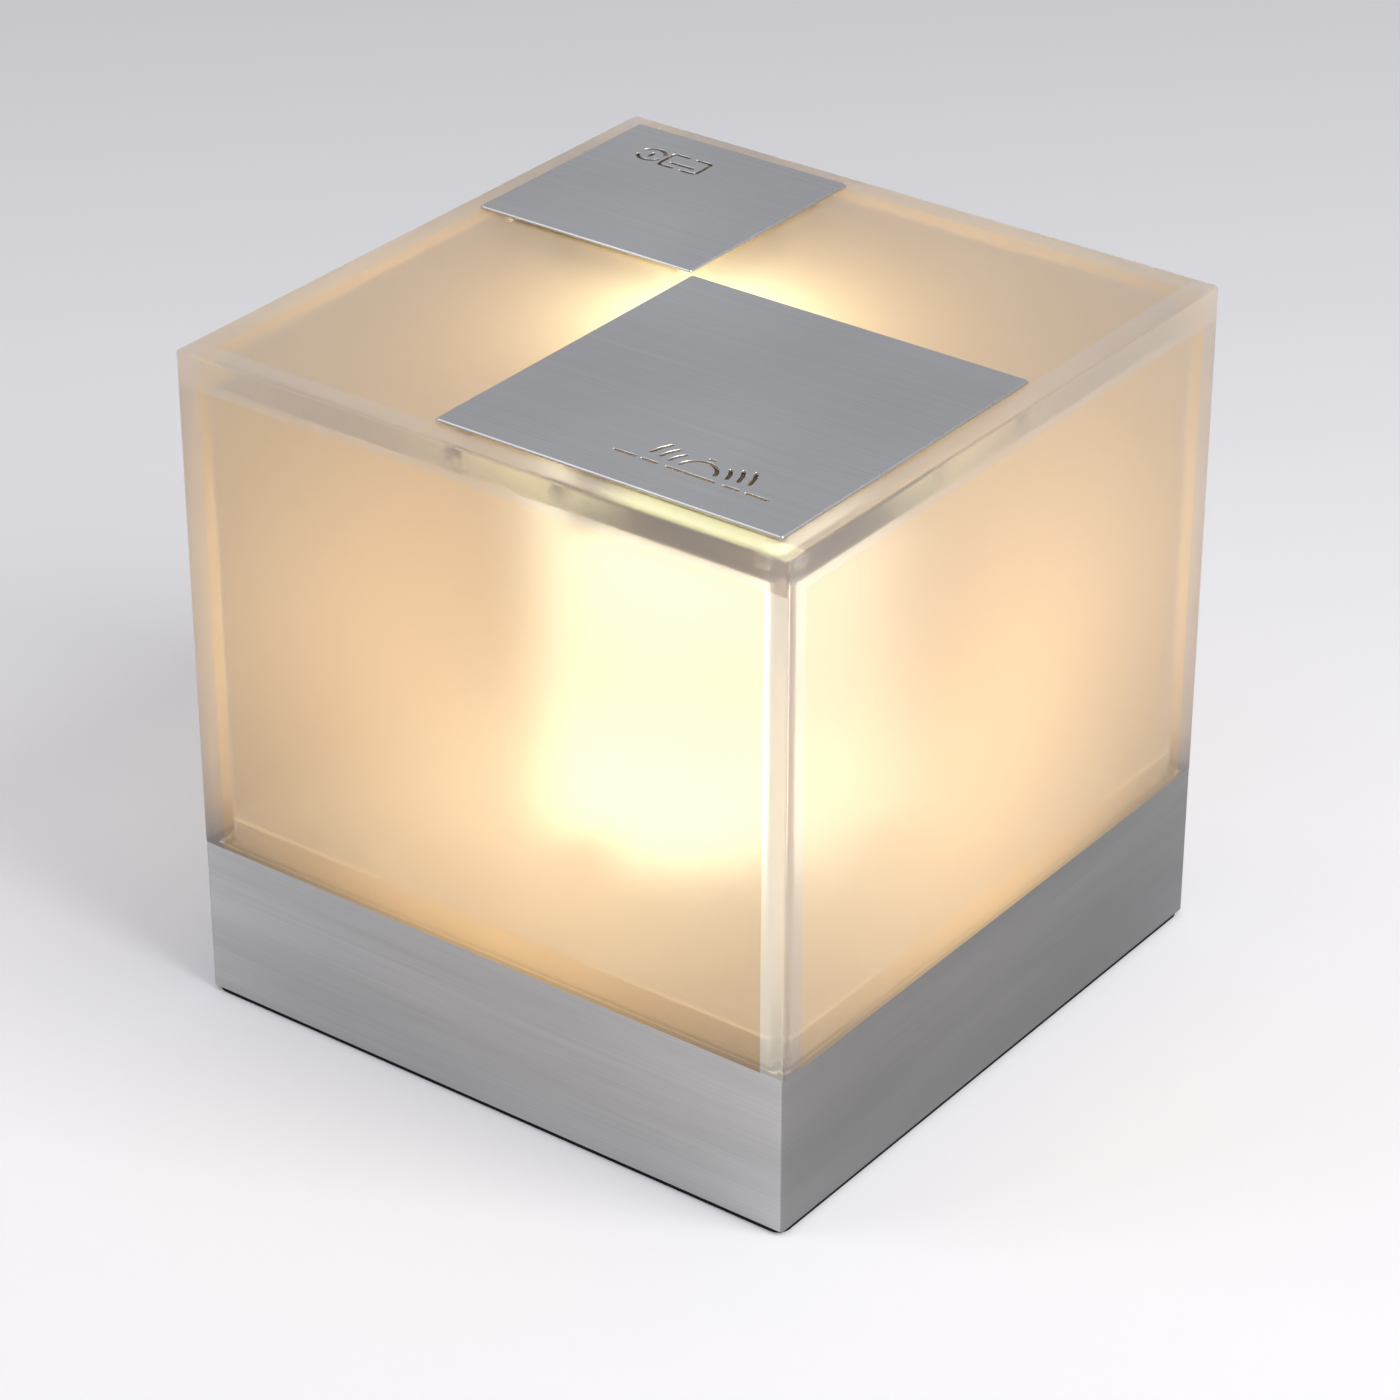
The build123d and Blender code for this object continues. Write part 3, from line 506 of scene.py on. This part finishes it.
# ---- press plates ----------------------------------------------------------------------------
# A sign is a list of strokes cut through the plate. A stroke is a path in millimetres from the
# sign's centre, x to the right and y up as it is read.
stroke_width = 0.45
arc_step = 15  # degrees
plate_corner = 0.3  # millimetres
sign_edge = 0.07 * MM  # chamfer along the sign
rim_edge = 0.2 * MM  # chamfer round the plate's upper rim


def arc(x, y, radius, start, end):
    """Points of an arc about (x, y), between two angles in degrees."""
    steps = max(2, round(abs(end - start) / arc_step))
    turns = [radians(start + (end - start) * i / steps) for i in range(steps + 1)]
    return [(x + radius * cos(turn), y + radius * sin(turn)) for turn in turns]


def line(x0, y0, x1, y1):
    return [(x0, y0), (x1, y1)]


def mirrored(paths):
    """The same paths on the other side of the sign's middle."""
    return [[(-x, y) for x, y in path] for path in paths]


def bell_sign():
    """Desk bell on a counter, with rings of sound on both sides."""
    desk, middle = -1.9, -1.0
    bell = [arc(0, middle, 2.2, 10, 170), line(-0.25, 1.95, 0.25, 1.95), line(-2.9, desk, 2.9, desk)]
    sound = [arc(0, middle, 3.6, 8, 40), arc(0, middle, 4.9, 8, 36), arc(0, middle, 6.2, 8, 32)]
    counter = [line(4.2, desk, 6.0, desk), line(7.0, desk, 9.5, desk)]
    return bell + sound + mirrored(sound) + counter + mirrored(counter)


def card_sign():
    """Card and coin; gaps keep their middles in the plate."""
    left, right, low, high, corner = -4.4, 0.9, -1.7, 1.7, 0.5
    middle = (left + right) / 2
    bridge = 0.6
    half_card = [
        (middle - bridge, high),
        *arc(left + corner, high - corner, corner, 90, 180),
        *arc(left + corner, low + corner, corner, 180, 270),
        (middle - bridge, low),
    ]
    other_half = [(2 * middle - x, y) for x, y in half_card]
    stripe = line(left + 1.1, 0.55, right - 1.1, 0.55)
    coin = [arc(3.0, 0, 1.6, 25, 155), arc(3.0, 0, 1.6, 205, 335), line(3.0, -0.45, 3.0, 0.45)]
    return [half_card, other_half, stripe] + coin


def round_cap(point, inner, reach):
    """Points round the end of a stroke, which comes from inner."""
    run, rise = point[0] - inner[0], point[1] - inner[1]
    size = hypot(run, rise)
    ahead = run / size, rise / size
    left = -ahead[1], ahead[0]
    turns = [pi * i / 4 for i in (1, 2, 3)]
    return [
        (
            point[0] + reach * (cos(turn) * left[0] + sin(turn) * ahead[0]),
            point[1] + reach * (cos(turn) * left[1] + sin(turn) * ahead[1]),
        )
        for turn in turns
    ]


def stroke_outline(path):
    """Closed outline of a stroke, round at both ends."""
    reach = stroke_width / 2
    one_side, other_side = [], []
    for i, (x, y) in enumerate(path):
        before, after = path[max(i - 1, 0)], path[min(i + 1, len(path) - 1)]
        run, rise = after[0] - before[0], after[1] - before[1]
        across = -rise / hypot(run, rise), run / hypot(run, rise)
        one_side.append((x + reach * across[0], y + reach * across[1]))
        other_side.append((x - reach * across[0], y - reach * across[1]))
    far_cap = round_cap(path[-1], path[-2], reach)
    near_cap = round_cap(path[0], path[1], reach)
    return one_side + far_cap + other_side[::-1] + near_cap


def plate_outline(half):
    """Square with rounded corners."""
    middle = half - plate_corner
    points = []
    for turn, (sx, sy) in enumerate(((1, 1), (-1, 1), (-1, -1), (1, -1))):
        points += arc(sx * middle, sy * middle, plate_corner, 90 * turn, 90 * turn + 90)
    return points


def add_outline(curve, points):
    spline = curve.splines.new("POLY")
    spline.points.add(len(points) - 1)
    for point, (x, y) in zip(spline.points, points):
        point.co = (x * MM, y * MM, 0, 1)
    spline.use_cyclic_u = True


def cut_sheet(name, outlines, thickness):
    """Mesh of a sheet with the first outline's shape, less the others, chamfered along all."""
    curve = bpy.data.curves.new(name, "CURVE")
    curve.dimensions = "2D"
    curve.fill_mode = "BOTH"
    curve.extrude = thickness / 2 - sign_edge
    curve.bevel_depth = sign_edge
    curve.bevel_resolution = 0
    curve.offset = -sign_edge
    for points in outlines:
        add_outline(curve, points)
    drawn = bpy.data.objects.new(name + "_curve", curve)
    bpy.context.scene.collection.objects.link(drawn)
    bpy.context.view_layer.update()
    evaluated = drawn.evaluated_get(bpy.context.evaluated_depsgraph_get())
    mesh = bpy.data.meshes.new_from_object(evaluated)
    bpy.data.objects.remove(drawn)
    return mesh


def widen_chamfer(shape, half, top):
    """Gives the plate's upper rim a wider chamfer than the edges of its sign have."""
    inner = half - 2 * rim_edge
    rim = [v for v in shape.verts if max(abs(v.co.x), abs(v.co.y)) > inner and v.co.z > 0]
    for vert in rim:
        if vert.co.z > top - sign_edge / 2:
            vert.co.xy *= (half - rim_edge) / (half - sign_edge)
        else:
            vert.co.z = top - rim_edge


def press_plate(node, body, sign, sign_centre, turned):
    """Sheet steel plate of the node's size, with its sign cut through."""
    low, high = (Vector(corner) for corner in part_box(node))
    half = (high.x - low.x) / 2 / MM
    way = -1 if turned else 1
    outlines = [plate_outline(half)]
    for path in sign:
        stroke = stroke_outline(path)
        outlines.append([(way * x + sign_centre[0], way * y + sign_centre[1]) for x, y in stroke])
    mesh = cut_sheet(node, outlines, high.z - low.z)
    shape = bmesh.new()
    shape.from_mesh(mesh)
    bmesh.ops.remove_doubles(shape, verts=shape.verts, dist=0.001 * MM)
    widen_chamfer(shape, half * MM, (high.z - low.z) / 2)
    bmesh.ops.recalc_face_normals(shape, faces=shape.faces)
    shape.to_mesh(mesh)
    shape.free()
    mesh.name = node + "_cut"
    mesh.materials.clear()
    mesh.materials.append(plate_steel)
    piece = bpy.data.objects.new(node + "_cut", mesh)
    piece.location = (low + high) / 2
    bpy.context.scene.collection.objects.link(piece)
    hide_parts(node)
    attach(piece, body)


plate_steel = brushed_plate("plate_steel")
press_plate("call_plate", "call_button", bell_sign(), sign_centre=(6.6, -14.6), turned=False)
press_plate("bill_plate", "bill_button", card_sign(), sign_centre=(-5.1, 8.3), turned=True)


# ---- return springs --------------------------------------------------------------------------
def seated_spring(node):
    """A copy of the node's own spring, put where the node was; the real spring shortens as its top
    follows the button down, this copy keeps its shape.
    """
    piece = bpy.data.objects.new(node + "_live", nodes[node].data.copy())
    bpy.context.scene.collection.objects.link(piece)
    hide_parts(node)
    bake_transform(piece)


seated_spring("call_return_spring")
seated_spring("bill_return_spring")


# ---- floor, light and camera -----------------------------------------------------------------
floor_size = 3.0
floor_far, floor_near = -0.30, -0.03  # along the camera's level direction, from the middle
# painted fall-off of light across the floor, from the far end to the near end
floor_painted_ends = (0.705, 0.70, 0.72), (1.0, 1.0, 1.03)
floor_painted_greys = ((0.24, 0.75), (0.45, 0.79), (0.63, 0.84), (0.80, 0.89), (0.94, 0.97))
floor_cast = (0.6, 0.6, 0.61)  # what the floor gives back to the object
sky = (0.93, 0.94, 1.0)
sky_light, sky_mirrored = 0.56, 0.525


def painted_floor_falloff(s):
    """Painted light: runs from grey far off to white near the camera, standing in for light falling
    off across the floor.
    """
    nearness = s.add("ShaderNodeVectorMath", operation="DOT_PRODUCT")
    s.feed(nearness.inputs[0], s.place())
    s.feed(nearness.inputs[1], (sin(camera_yaw), -cos(camera_yaw), 0))
    ramp = s.add("ShaderNodeValToRGB")
    s.feed(ramp.inputs["Fac"], s.between(nearness.outputs["Value"], floor_far, floor_near))
    elements = ramp.color_ramp.elements
    for position, grey in floor_painted_greys:
        elements.new(position).color = (grey, grey, grey * 1.02, 1)
    for element, colour in zip((elements[0], elements[-1]), floor_painted_ends):
        element.color = (*colour, 1)
    return ramp.outputs["Color"]


def floor():
    mesh = bpy.data.meshes.new("floor")
    shape = bmesh.new()
    bmesh.ops.create_grid(shape, x_segments=1, y_segments=1, size=floor_size)
    shape.to_mesh(mesh)
    shape.free()
    piece = bpy.data.objects.new("floor", mesh)
    bpy.context.scene.collection.objects.link(piece)
    s = Shader("floor")
    seen = s.add("ShaderNodeLightPath").outputs["Is Camera Ray"]
    matt = s.add("ShaderNodeBsdfDiffuse")
    s.feed(matt.inputs["Color"], s.blend(seen, floor_cast, painted_floor_falloff(s)))
    s.feed(s.output.inputs["Surface"], matt.outputs[0])
    mesh.materials.append(s.material)


def lamp(name, place, size, watts, colour=(1, 1, 1)):
    """Square lamp that faces the cube's middle."""
    data = bpy.data.lights.new(name, "AREA")
    data.shape = "SQUARE"
    data.size = size
    data.energy = watts
    data.color = colour
    piece = bpy.data.objects.new(name, data)
    bpy.context.scene.collection.objects.link(piece)
    piece.location = place
    middle = Vector((0, 0, (shell_low.z + shell_high.z) / 2))
    piece.rotation_euler = (middle - Vector(place)).to_track_quat("-Z", "Y").to_euler()


def world():
    """Even grey studio; polished things see it a little darker than it lights."""
    data = bpy.data.worlds.new("studio")
    bpy.context.scene.world = data
    data.use_nodes = True
    tree = data.node_tree
    background = tree.nodes["Background"]
    background.inputs["Color"].default_value = (*sky, 1)
    paths = tree.nodes.new("ShaderNodeLightPath")
    mirror = tree.nodes.new("ShaderNodeMapRange")
    mirror.inputs["To Min"].default_value = sky_light
    mirror.inputs["To Max"].default_value = sky_mirrored
    tree.links.new(paths.outputs["Is Glossy Ray"], mirror.inputs["Value"])
    tree.links.new(mirror.outputs["Result"], background.inputs["Strength"])


def camera():
    """Stands as the photograph's camera did."""
    data = bpy.data.cameras.new("camera")
    data.lens = camera_lens_mm
    data.sensor_width = camera_sensor_mm
    data.clip_start = 0.01
    piece = bpy.data.objects.new("camera", data)
    bpy.context.scene.collection.objects.link(piece)
    level = cos(camera_pitch)
    away = Vector((sin(camera_yaw) * level, -cos(camera_yaw) * level, sin(camera_pitch)))
    piece.location = camera_target + camera_distance * away
    piece.rotation_euler = away.to_track_quat("Z", "Y").to_euler()
    bpy.context.scene.camera = piece


floor()
lamp("key", (0.85, 0.05, 0.85), size=0.7, watts=7.6, colour=(1.0, 0.985, 0.96))
lamp("edge", (-0.70, -0.68, 0.95), size=0.6, watts=1.8)
world()
camera()
bpy.context.scene.view_settings.view_transform = "Standard"
